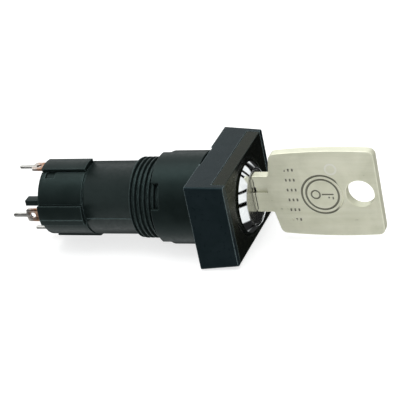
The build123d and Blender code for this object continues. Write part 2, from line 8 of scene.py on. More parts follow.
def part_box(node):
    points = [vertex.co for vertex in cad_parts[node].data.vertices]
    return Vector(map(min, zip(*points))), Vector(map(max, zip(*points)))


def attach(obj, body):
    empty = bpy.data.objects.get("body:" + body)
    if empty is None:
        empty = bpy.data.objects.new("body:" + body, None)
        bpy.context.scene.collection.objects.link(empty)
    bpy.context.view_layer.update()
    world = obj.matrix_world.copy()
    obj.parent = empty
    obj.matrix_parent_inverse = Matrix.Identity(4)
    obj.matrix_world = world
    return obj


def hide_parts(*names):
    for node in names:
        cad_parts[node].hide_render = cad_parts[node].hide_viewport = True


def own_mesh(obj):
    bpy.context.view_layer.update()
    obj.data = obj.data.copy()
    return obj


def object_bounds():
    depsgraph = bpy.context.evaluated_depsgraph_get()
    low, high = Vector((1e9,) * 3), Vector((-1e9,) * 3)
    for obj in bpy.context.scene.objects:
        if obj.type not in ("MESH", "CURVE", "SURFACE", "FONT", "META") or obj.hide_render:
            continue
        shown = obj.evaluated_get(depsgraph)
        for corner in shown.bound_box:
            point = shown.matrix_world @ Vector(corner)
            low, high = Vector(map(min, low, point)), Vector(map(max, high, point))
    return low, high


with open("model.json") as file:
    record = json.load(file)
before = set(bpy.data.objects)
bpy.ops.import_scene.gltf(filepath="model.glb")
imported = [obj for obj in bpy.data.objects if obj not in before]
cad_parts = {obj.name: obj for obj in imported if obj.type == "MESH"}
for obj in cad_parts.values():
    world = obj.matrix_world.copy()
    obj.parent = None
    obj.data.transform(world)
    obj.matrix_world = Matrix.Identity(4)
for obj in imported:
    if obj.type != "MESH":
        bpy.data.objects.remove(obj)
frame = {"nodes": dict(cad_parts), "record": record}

bpy.context.view_layer.update()
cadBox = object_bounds()
mm = 0.001
print("stage 1: frame loaded, box", cadBox)

# the switch axis is Y, the key points to -Y, Z is up; every size below is in mm
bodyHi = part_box("operator_body")[1]
plateLo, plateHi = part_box("face_plate")
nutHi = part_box("ring_nut")[1]
ringLo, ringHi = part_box("lock_trim_ring")
houseLo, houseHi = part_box("contact_housing")
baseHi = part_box("terminal_base")[1]
keyLo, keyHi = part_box("key")


# mesh tools
weld = {"mesh": 1e-7, "curve": 2e-7}  # metres; points closer than this become one


def newObject(name, mesh):
    obj = bpy.data.objects.new(name, mesh)
    bpy.context.collection.objects.link(obj)
    return obj


def cleaned(mesh, gap=weld["mesh"], slivers=False):
    b = bmesh.new()
    b.from_mesh(mesh)
    bmesh.ops.remove_doubles(b, verts=b.verts, dist=gap)
    if slivers:
        bmesh.ops.dissolve_degenerate(b, edges=b.edges, dist=weld["mesh"])
    bmesh.ops.recalc_face_normals(b, faces=b.faces)
    b.to_mesh(mesh)
    b.free()
    return mesh


def meshFrom(name, verts, faces):  # verts in mm
    mesh = bpy.data.meshes.new(name)
    mesh.from_pydata([tuple(c * mm for c in v) for v in verts], [], faces)
    mesh.validate()
    return newObject(name, cleaned(mesh))


def meshOfCurve(name, curve):  # the curve is used up
    source = newObject(name + "Curve", curve)
    dg = bpy.context.evaluated_depsgraph_get()
    dg.update()
    mesh = bpy.data.meshes.new_from_object(source.evaluated_get(dg), depsgraph=dg)
    bpy.data.objects.remove(source)
    bpy.data.curves.remove(curve)
    return mesh


# quads between neighbouring copies of a closed profile of n points
def ringFaces(segments, n):
    return [(i * n + j, i * n + (j + 1) % n, (i + 1) % segments * n + (j + 1) % n, (i + 1) % segments * n + j)
            for i in range(segments) for j in range(n)]


def applyAll(obj):  # turns the modifiers into plain mesh
    dg = bpy.context.evaluated_depsgraph_get()
    dg.update()
    mesh = bpy.data.meshes.new_from_object(
        obj.evaluated_get(dg), preserve_all_data_layers=True, depsgraph=dg)
    obj.modifiers.clear()
    old = obj.data
    obj.data = mesh
    bpy.data.meshes.remove(old)
    return obj


def smoothBy(obj, angle):
    obj.data.polygons.foreach_set("use_smooth", [True] * len(obj.data.polygons))
    obj.data.set_sharp_from_angle(angle=radians(angle))
    obj.data.update()


softEdge = {"feature": 32, "smooth": 40, "weight": 80}  # degrees, degrees, share of the larger faces


# rounds the feature edges and keeps the flats flat
def soften(obj, width, segments=3):
    bevel = obj.modifiers.new("edges", "BEVEL")
    bevel.width = width * mm
    bevel.segments = segments
    bevel.limit_method = "ANGLE"
    bevel.angle_limit = radians(softEdge["feature"])
    bevel.use_clamp_overlap = True
    bevel.miter_outer = "MITER_ARC"
    applyAll(obj)
    smoothBy(obj, softEdge["smooth"])
    weighted = obj.modifiers.new("flats", "WEIGHTED_NORMAL")
    weighted.keep_sharp = True
    weighted.weight = softEdge["weight"]
    return applyAll(obj)


def boolean(obj, cutter, operation="DIFFERENCE"):
    mod = obj.modifiers.new("cut", "BOOLEAN")
    mod.operation = operation
    mod.object = cutter
    mod.solver = "EXACT"
    applyAll(obj)
    mesh = cutter.data
    bpy.data.objects.remove(cutter)
    bpy.data.meshes.remove(mesh)
    return obj


def joined(name, pieces):  # one object from several meshes in the same frame
    b = bmesh.new()
    for p in pieces:
        b.from_mesh(p.data)
    mesh = bpy.data.meshes.new(name)
    b.to_mesh(mesh)
    b.free()
    for p in pieces:
        old = p.data
        bpy.data.objects.remove(p)
        bpy.data.meshes.remove(old)
    return newObject(name, mesh)


# a closed profile of (radius, y) turned about the switch axis
def lathe(name, profile, segments=160):
    verts = []
    for i in range(segments):
        a = 2 * pi * i / segments
        verts += [(r * cos(a), y, r * sin(a)) for r, y in profile]
    return meshFrom(name, verts, ringFaces(segments, len(profile)))


# a plain capped round on the axis, used for cutting bores
def roundBar(name, radius, y0, y1, segments=128):
    verts = [(radius * cos(2 * pi * i / segments), y, radius * sin(2 * pi * i / segments))
             for y in (y0, y1) for i in range(segments)]
    faces = [(i, (i + 1) % segments, segments + (i + 1) % segments, segments + i) for i in range(segments)]
    faces += [tuple(range(segments)), tuple(range(2 * segments - 1, segments - 1, -1))]
    return meshFrom(name, verts, faces)


def block(name, lo, hi):
    verts = [(x, y, z) for x in (lo[0], hi[0]) for y in (lo[1], hi[1]) for z in (lo[2], hi[2])]
    faces = [(0, 1, 3, 2), (4, 6, 7, 5), (0, 4, 5, 1), (2, 3, 7, 6), (0, 2, 6, 4), (1, 5, 7, 3)]
    return meshFrom(name, verts, faces)


nearest = 0.4  # share of a step that a filler angle keeps from its neighbours


# a round-worked solid: cells between the given radii, angles and stations, kept where filled() says
def polarSolid(name, radii, edgesDeg, stations, filled, step=3.0):
    angles = sorted({a % 360 for a in edgesDeg})
    for i in range(int(360 / step)):
        a = i * step
        if all(min(abs(a - e), 360 - abs(a - e)) > step * nearest for e in angles):
            angles.append(a)
    angles.sort()
    n = len(angles)
    mids = [((angles[j] + (angles[(j + 1) % n] + (360 if j == n - 1 else 0))) / 2) % 360 for j in range(n)]
    full = {
        (i, j, k)
        for i in range(len(radii) - 1) for j in range(n) for k in range(len(stations) - 1)
        if filled((radii[i] + radii[i + 1]) / 2, mids[j], (stations[k] + stations[k + 1]) / 2)
    }
    index, verts, faces = {}, [], []

    def vert(i, j, k):
        key = (i, 0 if radii[i] == 0 else j % n, k)
        if key not in index:
            a = radians(angles[j % n])
            index[key] = len(verts)
            verts.append((radii[i] * cos(a), stations[k], radii[i] * sin(a)))
        return index[key]

    def wall(corners):
        loop = []
        for c in corners:
            v = vert(*c)
            if v not in loop:
                loop.append(v)
        if len(loop) > 2:
            faces.append(tuple(loop))

    for i, j, k in full:
        if (i + 1, j, k) not in full:
            wall([(i + 1, j, k), (i + 1, j + 1, k), (i + 1, j + 1, k + 1), (i + 1, j, k + 1)])
        if (i - 1, j, k) not in full and radii[i] > 0:
            wall([(i, j, k), (i, j, k + 1), (i, j + 1, k + 1), (i, j + 1, k)])
        if (i, (j + 1) % n, k) not in full:
            wall([(i, j + 1, k), (i, j + 1, k + 1), (i + 1, j + 1, k + 1), (i + 1, j + 1, k)])
        if (i, (j - 1) % n, k) not in full:
            wall([(i, j, k), (i + 1, j, k), (i + 1, j, k + 1), (i, j, k + 1)])
        if (i, j, k + 1) not in full:
            wall([(i, j, k + 1), (i + 1, j, k + 1), (i + 1, j + 1, k + 1), (i, j + 1, k + 1)])
        if (i, j, k - 1) not in full:
            wall([(i, j, k), (i, j + 1, k), (i + 1, j + 1, k), (i + 1, j, k)])
    return meshFrom(name, verts, faces)


# a plate cut to closed outlines, with rounded edges; put() maps (x, y, height) to the switch
def flatPlate(name, outlines, thickness, edge, put, rounding=3):
    curve = bpy.data.curves.new(name, "CURVE")
    curve.dimensions = "2D"
    curve.fill_mode = "BOTH"
    curve.extrude = (thickness / 2 - edge) * mm
    curve.bevel_depth = edge * mm
    curve.bevel_resolution = rounding
    curve.offset = -edge * mm
    for outline in outlines:
        spline = curve.splines.new("POLY")
        spline.points.add(len(outline) - 1)
        for p, (x, y) in zip(spline.points, outline):
            p.co = (x * mm, y * mm, 0, 1)
        spline.use_cyclic_u = True
    mesh = meshOfCurve(name, curve)
    for v in mesh.vertices:
        v.co = Vector(put(*(c / mm for c in v.co))) * mm
    return newObject(name, cleaned(mesh, weld["curve"], True))


def circlePoints(cx, cy, r, count):
    turn = 2 * pi / count
    return [(cx + r * cos(turn * i), cy + r * sin(turn * i)) for i in range(count)]


# corners are (x, y, radius), walked in order; each is rounded with its own radius
def roundedOutline(corners, count=8):
    out = []
    n = len(corners)
    for i, (x, y, r) in enumerate(corners):
        p = Vector((x, y))
        if r <= 0:
            out.append((x, y))
            continue
        before = (Vector(corners[i - 1][:2]) - p).normalized()
        after = (Vector(corners[(i + 1) % n][:2]) - p).normalized()
        half = before.angle(after) / 2
        reach = r / tan(half)
        centre = p + (before + after).normalized() * (r / sin(half))
        s, e = p + before * reach, p + after * reach
        a0 = atan2(s.y - centre.y, s.x - centre.x)
        a1 = atan2(e.y - centre.y, e.x - centre.x)
        turn = (a1 - a0 + pi) % (2 * pi) - pi
        out += [(centre.x + r * cos(a0 + turn * t / count), centre.y + r * sin(a0 + turn * t / count))
                for t in range(count + 1)]
    return out


# a round stroke through points in mm
def tube(name, points, radius, cyclic=False, resolution=3):
    curve = bpy.data.curves.new(name, "CURVE")
    curve.dimensions = "3D"
    curve.bevel_depth = radius * mm
    curve.bevel_resolution = resolution
    curve.use_fill_caps = True
    spline = curve.splines.new("POLY")
    spline.points.add(len(points) - 1)
    for p, c in zip(spline.points, points):
        p.co = (*[v * mm for v in c], 1)
    spline.use_cyclic_u = cyclic
    return newObject(name, cleaned(meshOfCurve(name, curve)))


# gives a finished piece its material, its body and the CAD nodes it stands for
def place(obj, material, body, slot, *nodes):
    obj.data.materials.clear()
    obj.data.materials.append(material)
    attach(obj, body)
    if nodes:
        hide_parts(*nodes)
    return obj


# materials
# sets a colour ramp's stops; the two it starts with become the ends
def fillRamp(elements, stops):
    elements[0].color = (*stops[0][1], 1)
    elements[1].color = (*stops[-1][1], 1)
    elements[1].position = stops[-1][0]
    elements[0].position = stops[0][0]
    for at, colour in stops[1:-1]:
        elements.new(at).color = (*colour, 1)


# edges lightened with this mask show rubbed wear and a painted highlight
edgeWearAndHighlight = {"reach": 0.00025, "from": 0.02, "to": 0.25, "samples": 4}


class Nodes:  # short hand for building a node material
    def __init__(self, name):
        self.material = bpy.data.materials.new(name)
        self.material.use_nodes = True
        self.tree = self.material.node_tree
        self.shader = self.tree.nodes["Principled BSDF"]
        self.coords = self.tree.nodes.new("ShaderNodeTexCoord")

    def add(self, kind, **settings):
        node = self.tree.nodes.new("ShaderNode" + kind)
        for k, v in settings.items():
            setattr(node, k, v)
        return node

    def link(self, a, b):
        self.tree.links.new(a, b)

    def stretch(self, scale):
        node = self.add("Mapping")
        node.inputs["Scale"].default_value = scale
        self.link(self.coords.outputs["Object"], node.inputs["Vector"])
        return node.outputs["Vector"]

    def noise(self, scale, detail=4.0, rough=0.55, vector=None, distortion=0.0):
        node = self.add("TexNoise")
        node.inputs["Scale"].default_value = scale
        node.inputs["Detail"].default_value = detail
        node.inputs["Roughness"].default_value = rough
        node.inputs["Distortion"].default_value = distortion
        self.link(vector or self.coords.outputs["Object"], node.inputs["Vector"])
        return node.outputs["Fac"]

    def ramp(self, value, stops, mode="LINEAR"):
        node = self.add("ValToRGB")
        node.color_ramp.interpolation = mode
        fillRamp(node.color_ramp.elements, stops)
        self.link(value, node.inputs["Fac"])
        return node.outputs["Color"]

    def level(self, value, low, high, a=0.0, b=1.0):
        node = self.add("MapRange")
        node.inputs["From Min"].default_value = low
        node.inputs["From Max"].default_value = high
        node.inputs["To Min"].default_value = a
        node.inputs["To Max"].default_value = b
        self.link(value, node.inputs["Value"])
        return node.outputs["Result"]

    def math(self, operation, a, b):
        node = self.add("Math", operation=operation)
        for socket, v in zip(node.inputs, (a, b)):
            if isinstance(v, (int, float)):
                socket.default_value = v
            else:
                self.link(v, socket)
        return node.outputs[0]

    def mix(self, fac, a, b, mode="MIX"):
        node = self.add("Mix", data_type="RGBA", blend_type=mode)
        for socket, v in ((node.inputs[0], fac), (node.inputs[6], a), (node.inputs[7], b)):
            if isinstance(v, (int, float)):
                socket.default_value = v
            elif isinstance(v, tuple):
                socket.default_value = (*v, 1)
            else:
                self.link(v, socket)
        return node.outputs[2]

    def bump(self, height, strength, distance, normal=None):
        node = self.add("Bump")
        node.inputs["Strength"].default_value = strength
        node.inputs["Distance"].default_value = distance
        self.link(height, node.inputs["Height"])
        if normal:
            self.link(normal, node.inputs["Normal"])
        return node.outputs["Normal"]

    # a mask of the edges, from how far a rounded normal turns away from the real one
    def edges(self):
        geometry = self.add("NewGeometry")
        rounded = self.add("Bevel", samples=edgeWearAndHighlight["samples"])
        rounded.inputs["Radius"].default_value = edgeWearAndHighlight["reach"]
        turned = self.add("VectorMath", operation="DOT_PRODUCT")
        self.link(rounded.outputs["Normal"], turned.inputs[0])
        self.link(geometry.outputs["Normal"], turned.inputs[1])
        away = self.math("SUBTRACT", 1.0, turned.outputs["Value"])
        return self.level(away, edgeWearAndHighlight["from"], edgeWearAndHighlight["to"])

    # a mask of what lies below the two broad faces, inside a round area around the stamped marks, used to paint shade
    # into the stamped grooves
    def sunk(self, area):
        away = self.add("VectorMath", operation="DISTANCE")
        self.link(self.coords.outputs["Object"], away.inputs[0])
        away.inputs[1].default_value = area["centre"]
        split = self.add("SeparateXYZ")
        self.link(self.coords.outputs["Object"], split.inputs["Vector"])
        depth = self.math("SUBTRACT", area["face"], self.math("ABSOLUTE", split.outputs["X"], 0.0))
        inside = self.level(away.outputs["Value"], area["reach"], area["reachEnd"], 1.0, 0.0)
        below = self.level(depth, area["skin"], area["skinEnd"], 0.0, area["full"])
        return self.math("MULTIPLY", inside, below)


mould = {"tones": (0.3, 0.7), "specks": (0.60, 0.72), "speckScale": 1.7, "roughScale": 0.25, "smoother": 0.06,
         "rougher": 0.07, "grainHeight": 0.00003}


# injection-moulded plastic: two close tones, fine spark-eroded grain, faint rubs and a painted highlight on the edges
def mouldedPlastic(name, look):
    m = Nodes(name)
    low, high = mould["tones"]
    tone = m.ramp(m.noise(look["cloud"], 3.0), [(low, look["dark"]), (high, look["light"])])
    speck = m.level(m.noise(look["grain"] * mould["speckScale"], 2.0), *mould["specks"], 0.0, look["speck"])
    tone = m.mix(speck, tone, look["dust"])
    # the edges get a lighter colour: partly rubbed wear, partly a painted highlight
    wornAndLit = m.math("MULTIPLY", m.edges(), look["wearAndHighlight"])
    m.link(m.mix(wornAndLit, tone, look["rubAndHighlight"]), m.shader.inputs["Base Color"])
    rough = m.level(m.noise(look["grain"] * mould["roughScale"], 3.0), low, high,
                    look["rough"] - mould["smoother"], look["rough"] + mould["rougher"])
    m.link(rough, m.shader.inputs["Roughness"])
    m.shader.inputs["Specular IOR Level"].default_value = look["specular"]
    m.shader.inputs["Specular Tint"].default_value = (*look["sheen"], 1)
    grain = m.noise(look["grain"], 3.0, 0.6)
    m.link(m.bump(grain, look["bump"], mould["grainHeight"]), m.shader.inputs["Normal"])
    return m.material


blackLook = {"dark": (0.0050, 0.0080, 0.0076), "light": (0.0085, 0.0125, 0.0120), "dust": (0.05, 0.065, 0.065),
             "rubAndHighlight": (0.13, 0.18, 0.18), "cloud": 260.0, "grain": 5200.0, "speck": 0.12, "wearAndHighlight": 0.7,
             "rough": 0.36, "specular": 0.15, "sheen": (0.64, 1.0, 0.96), "bump": 0.35}
# the bezel's lighter, stronger edge colour is mostly a painted highlight along its edges
bezelLook = dict(blackLook, dark=(0.0045, 0.0085, 0.0100), light=(0.0080, 0.0125, 0.0150), rough=0.32,
                 specular=0.13, sheen=(0.55, 0.92, 1.0), rubAndHighlight=(0.26, 0.33, 0.34), wearAndHighlight=0.85)
faceLook = dict(blackLook, dark=(0.0022, 0.0028, 0.0026), light=(0.0038, 0.0045, 0.0032), rough=0.30,
                specular=0.15, sheen=(0.85, 1.0, 0.5))
worksLook = {"dark": (0.62, 0.60, 0.55), "light": (0.72, 0.70, 0.65), "dust": (0.5, 0.48, 0.44),
             "rubAndHighlight": (0.85, 0.84, 0.80), "cloud": 300.0, "grain": 4200.0, "speck": 0.1, "wearAndHighlight": 0.3,
             "rough": 0.45, "specular": 0.5, "sheen": (1.0, 1.0, 1.0), "bump": 0.25}
rubberLook = dict(blackLook, dark=(0.012, 0.012, 0.012), light=(0.02, 0.02, 0.02), rough=0.72, specular=0.3)


worked = {"tones": (0.32, 0.68), "streaks": (0.35, 0.65), "swing": (0.3, 0.7), "pits": (0.66, 0.74),
          "height": 0.00002}


# metal with drawn or brushed lines, clouded tarnish, small pits, and edges lightened by rubs and a painted highlight
def metal(name, look):
    m = Nodes(name)
    brushed = m.noise(look["line"], 5.0, 0.65, m.stretch(look["stretch"]))
    cloud = m.noise(look["cloud"], 4.0, 0.6, distortion=0.6)
    low, high = worked["tones"]
    tone = m.ramp(cloud, [(low, look["dark"]), (high, look["light"])])
    tone = m.mix(m.level(brushed, *worked["streaks"], 0.0, look["streak"]), tone, look["streakTone"])
    # lighter edges: partly rubbed wear, partly a painted highlight
    tone = m.mix(m.math("MULTIPLY", m.edges(), look["wearAndHighlight"]), tone, look["rubAndHighlight"])
    # painted shade in the sunk stamped marks
    if "stampShade" in look:
        tone = m.mix(m.sunk(look["stampShade"]), tone, look["stampShade"]["tone"])
    m.link(tone, m.shader.inputs["Base Color"])
    m.shader.inputs["Metallic"].default_value = look["metallic"]
    spread = look["spread"]
    rough = m.math("ADD", m.level(brushed, *worked["swing"], -spread, spread),
                   m.level(cloud, *worked["swing"], look["rough"] - spread, look["rough"] + spread))
    m.link(rough, m.shader.inputs["Roughness"])
    pits = m.math("MULTIPLY", m.level(m.noise(look["pit"], 2.0), *worked["pits"], 0.0, 1.0), -1.0)
    lines = m.bump(brushed, look["bump"], worked["height"])
    m.link(m.bump(pits, look["pitBump"], worked["height"], lines), m.shader.inputs["Normal"])
    return m.material


nickelLook = {"dark": (0.61, 0.61, 0.46), "light": (0.76, 0.75, 0.59), "streakTone": (0.84, 0.83, 0.70),
              "rubAndHighlight": (0.86, 0.85, 0.80), "line": 900.0, "stretch": (1.0, 0.06, 1.0), "cloud": 130.0,
              "streak": 0.35, "wearAndHighlight": 0.55, "metallic": 0.30, "rough": 0.34, "spread": 0.05, "pit": 2600.0,
              "bump": 0.22, "pitBump": 0.25}
zincLook = dict(nickelLook, dark=(0.42, 0.42, 0.41), light=(0.55, 0.55, 0.54), streakTone=(0.62, 0.62, 0.61),
                stretch=(1.0, 1.0, 1.0), rough=0.26, metallic=1.0)
steelLook = dict(zincLook, dark=(0.46, 0.46, 0.47), light=(0.58, 0.58, 0.59), rough=0.22, line=1800.0)
brassLook = dict(zincLook, dark=(0.62, 0.43, 0.17), light=(0.76, 0.56, 0.26), streakTone=(0.85, 0.68, 0.36),
                 rubAndHighlight=(0.92, 0.78, 0.48), rough=0.24)
silverLook = dict(zincLook, dark=(0.74, 0.73, 0.70), light=(0.84, 0.83, 0.81), streakTone=(0.9, 0.9, 0.88),
                  rough=0.16)


# bright chrome with faint polishing haze and finger smudges
def chromePlate(name, look):
    m = Nodes(name)
    haze = m.noise(look["haze"], 3.0, 0.5, distortion=0.8)
    low, high = look["tones"]
    m.link(m.ramp(haze, [(low, look["dark"]), (high, look["light"])]), m.shader.inputs["Base Color"])
    m.shader.inputs["Metallic"].default_value = 1.0
    m.link(m.level(haze, *look["smudges"], look["rough"], look["rougher"]), m.shader.inputs["Roughness"])
    m.link(m.bump(m.noise(look["ripple"], 2.0), look["bump"], look["height"]), m.shader.inputs["Normal"])
    return m.material


chromeLook = {"dark": (0.80, 0.81, 0.82), "light": (0.92, 0.93, 0.93), "tones": (0.35, 0.65), "haze": 420.0,
              "smudges": (0.3, 0.75), "rough": 0.035, "rougher": 0.095, "ripple": 700.0, "bump": 0.05,
              "height": 0.00002}


# copper alloy that shows at the root of the lug, dipped in tin towards the tip
def tinnedTerminal(name, look):
    m = Nodes(name)
    split = m.add("SeparateXYZ")
    m.link(m.coords.outputs["Object"], split.inputs["Vector"])
    wander = m.level(m.noise(look["wander"], 4.0), *look["swing"], -look["edge"], look["edge"])
    along = m.math("ADD", split.outputs["Y"], wander)
    dip = m.level(along, look["from"], look["to"])
    grain = m.noise(look["grain"], 4.0, 0.6, m.stretch(look["stretch"]))
    low, high = look["tones"]
    copper = m.ramp(grain, [(low, look["copperDark"]), (high, look["copperLight"])])
    tin = m.ramp(grain, [(low, look["tinDark"]), (high, look["tinLight"])])
    m.link(m.mix(dip, copper, tin), m.shader.inputs["Base Color"])
    m.shader.inputs["Metallic"].default_value = 1.0
    m.link(m.level(grain, *look["swing"], look["rough"], look["rougher"]), m.shader.inputs["Roughness"])
    m.link(m.bump(grain, look["bump"], look["height"]), m.shader.inputs["Normal"])
    return m.material


terminalLook = {"copperDark": (0.36, 0.15, 0.07), "copperLight": (0.78, 0.50, 0.36),
                "tinDark": (0.55, 0.53, 0.50), "tinLight": (0.80, 0.78, 0.75), "tones": (0.35, 0.65),
                "swing": (0.3, 0.7), "from": 0.0352, "to": 0.0372, "edge": 0.0009, "wander": 1500.0,
                "grain": 1500.0, "stretch": (1.0, 0.2, 1.0), "rough": 0.20, "rougher": 0.34, "bump": 0.3,
                "height": 0.00003}

blackPlastic = mouldedPlastic("blackPlastic", blackLook)
bezelPlastic = mouldedPlastic("bezelPlastic", bezelLook)
facePlastic = mouldedPlastic("facePlastic", faceLook)
worksPlastic = mouldedPlastic("worksPlastic", worksLook)
sealRubber = mouldedPlastic("sealRubber", rubberLook)
# the stamped marks on the key get painted shade in their grooves
keyMetal = dict(nickelLook, stampShade={
    "centre": (0.0, -0.0198, 0.0011), "reach": 0.0064, "reachEnd": 0.0064 * 1.03, "face": keyHi.x,
    "skin": 0.00002, "skinEnd": 0.00006, "full": 0.85, "tone": (0.11, 0.11, 0.075)})
keyNickel = metal("keyNickel", keyMetal)
zincDie = metal("zincDie", zincLook)
springSteel = metal("springSteel", steelLook)
brassSheet = metal("brassSheet", brassLook)
silverFace = metal("silverFace", silverLook)
ringChrome = chromePlate("ringChrome", chromeLook)
terminalMetal = tinnedTerminal("terminalMetal", terminalLook)
print("stage 2: materials made")

# bezel block
beyond = 1.0  # how far a cutter stands past the work
bezel = {"width": 2 * bodyHi.x / mm, "height": 2 * bodyHi.z / mm, "draft": 3.5, "sideRound": 0.55,
         "sideSteps": 6, "edge": 0.13, "seam": 0.08, "flangeBore": 7.65, "flangeFloor": -3.2, "shellBore": 6.45,
         "seatRelief": 9.6, "reliefDepth": 0.3}


# a slice of the bezel between two stations; it narrows towards the key
def draftedBlock(name, y0, y1):
    verts = []
    for y in (y0, y1):
        shrink = -y * tan(radians(bezel["draft"]))
        hw, hh, r = bezel["width"] / 2 - shrink, bezel["height"] / 2 - shrink, bezel["sideRound"]
        ring = roundedOutline([(-hw, -hh, r), (hw, -hh, r), (hw, hh, r), (-hw, hh, r)], bezel["sideSteps"])
        verts += [(x, y, z) for x, z in ring]
    n = len(verts) // 2
    faces = [(i, (i + 1) % n, n + (i + 1) % n, n + i) for i in range(n)]
    faces += [tuple(range(n)), tuple(range(2 * n - 1, n - 1, -1))]
    return meshFrom(name, verts, faces)


plateHalf = plateHi.x / mm
plateBack = plateHi.y / mm
frontY = plateLo.y / mm
bezelBlock = draftedBlock("bezelBlock", frontY, 0)
cutFront, tall = frontY - beyond, bezel["height"]
boolean(bezelBlock, block("channel", (-plateHalf, cutFront, -tall), (plateHalf, plateBack, tall)))
boolean(bezelBlock, roundBar("flangeCut", bezel["flangeBore"], cutFront, bezel["flangeFloor"]))
boolean(bezelBlock, roundBar("boreCut", bezel["shellBore"], cutFront, beyond))
boolean(bezelBlock, roundBar("reliefCut", bezel["seatRelief"], -bezel["reliefDepth"], beyond))
soften(bezelBlock, bezel["edge"])
place(bezelBlock, bezelPlastic, "housing", "black_plastic", "operator_body")

# face plate
plate = {"edge": 0.14, "ringHole": 6.95, "recess": 7.7, "recessLip": 7.85, "recessDepth": 0.5,
         "lipDepth": 0.18, "coreIn": 0.5, "core": 1.0}
facePlate = draftedBlock("facePlate", frontY, plateBack - bezel["seam"])
inside = plateHalf - bezel["seam"]
plateWidth = block("plateWidth", (-inside, cutFront, -tall), (inside, plateBack + beyond, tall))
boolean(facePlate, plateWidth, "INTERSECT")
boolean(facePlate, lathe("plateRecess", [
    (plate["coreIn"], cutFront), (plate["coreIn"], plateBack + beyond),
    (plate["ringHole"], plateBack + beyond), (plate["ringHole"], frontY + plate["recessDepth"]),
    (plate["recess"], frontY + plate["recessDepth"]), (plate["recess"], frontY + plate["lipDepth"]),
    (plate["recessLip"], frontY), (plate["recessLip"], cutFront)]))
boolean(facePlate, roundBar("plateCore", plate["core"], cutFront, plateBack + beyond))
soften(facePlate, plate["edge"])
place(facePlate, facePlastic, "housing", "black_plastic", "face_plate")
print("stage 3: bezel and face plate")

# threaded sleeve and barrel
sleeve = {"crest": 8.0, "root": 7.42, "pitch": 1.0, "end": 14.5, "barrel": 7.25, "boreFront": 6.45,
          "web": 9.0, "webEnd": 9.8, "webBore": 4.0, "boreBack": 6.3, "fade": 0.12, "phase": 0.5,
          "crestFlat": 0.22, "rootFlat": 0.25, "round": 0.3, "chamfer": 0.1, "step": 0.12, "segments": 144,
          "rise": 0.045, "smooth": 50}
barrelEnd = bodyHi.y / mm


# a rounded thread form that dies out over the last part turn
def threadRadius(y, angle):
    phase = (y / sleeve["pitch"] - angle / (2 * pi) + sleeve["phase"]) % 1.0
    away = abs(phase - 0.5) * 2  # 0 at the middle of the crest, 1 at the middle of the root
    t = min(max((away - sleeve["crestFlat"]) / (1 - sleeve["crestFlat"] - sleeve["rootFlat"]), 0), 1)
    flank = t * (1 - sleeve["round"]) + sleeve["round"] * t * t * (3 - 2 * t)
    fade = min(max((sleeve["end"] - y) / sleeve["fade"], 0), 1)
    chamfer = sleeve["chamfer"] * (1 - min((sleeve["end"] - y) / sleeve["chamfer"], 1))
    return sleeve["crest"] - (sleeve["crest"] - sleeve["root"]) * flank * fade - chamfer


def threadedBarrel():
    segments, end = sleeve["segments"], sleeve["end"]
    count = int(ceil(end / sleeve["rise"]))
    rows = [(None, end * i / count) for i in range(count + 1)]  # no radius: taken from the thread
    rows += [(sleeve["barrel"] + sleeve["step"], end), (sleeve["barrel"], end + sleeve["step"]),
             (sleeve["barrel"], barrelEnd - sleeve["chamfer"]),
             (sleeve["barrel"] - sleeve["chamfer"], barrelEnd), (sleeve["boreBack"], barrelEnd),
             (sleeve["boreBack"], sleeve["webEnd"]), (sleeve["webBore"], sleeve["webEnd"]),
             (sleeve["webBore"], sleeve["web"]), (sleeve["boreFront"], sleeve["web"]), (sleeve["boreFront"], 0)]
    verts = []
    for i in range(segments):
        a = 2 * pi * i / segments
        for r, y in rows:
            radius = threadRadius(y, a) if r is None else r
            verts.append((radius * cos(a), y, radius * sin(a)))
    return meshFrom("threadedBarrel", verts, ringFaces(segments, len(rows)))


parting = {"angle": 186.0, "radius": 0.07, "sink": 0.02, "barrelFrom": 0.1, "barrelTo": 0.15, "houseFrom": 0.6,
           "houseTo": 34.5}


# the thin raised line where the two halves of the mould met
def flashLine(radius, y0, y1):
    a, r = radians(parting["angle"]), radius - parting["sink"]
    return tube("flashLine", [(r * cos(a), y0, r * sin(a)), (r * cos(a), y1, r * sin(a))], parting["radius"])


barrelFlash = flashLine(sleeve["barrel"], sleeve["end"] + parting["barrelFrom"],
                        barrelEnd - parting["barrelTo"])
barrel = joined("barrel", [threadedBarrel(), barrelFlash])
smoothBy(barrel, sleeve["smooth"])
place(barrel, blackPlastic, "housing", "black_plastic", "operator_body")

# ring nut
nut = {"outer": nutHi.x / mm - 0.002, "bore": 8.04, "length": nutHi.y / mm, "notches": 4, "notchWidth": 5.2,
       "notchDepth": 1.7, "first": 60.0, "seat": 0.02, "step": 2.5, "edge": 0.2}
notchHalf = degrees(nut["notchWidth"] / 2 / nut["outer"])
notchMids = [nut["first"] + i * 360 / nut["notches"] for i in range(nut["notches"])]


def near(angle, middles, half):
    return any(abs((angle - m + 180) % 360 - 180) < half for m in middles)


def nutFilled(r, a, y):
    return y < nut["length"] - nut["notchDepth"] or not near(a, notchMids, notchHalf)


def bothSides(middles, half):
    return [m + s * half for m in middles for s in (-1, 1)]


ringNut = polarSolid("ringNut", [nut["bore"], nut["outer"]], bothSides(notchMids, notchHalf),
                     [nut["seat"], nut["length"] - nut["notchDepth"], nut["length"]], nutFilled, nut["step"])
soften(ringNut, nut["edge"])
place(ringNut, blackPlastic, "nut", "black_plastic", "ring_nut")
print("stage 4: barrel and nut")

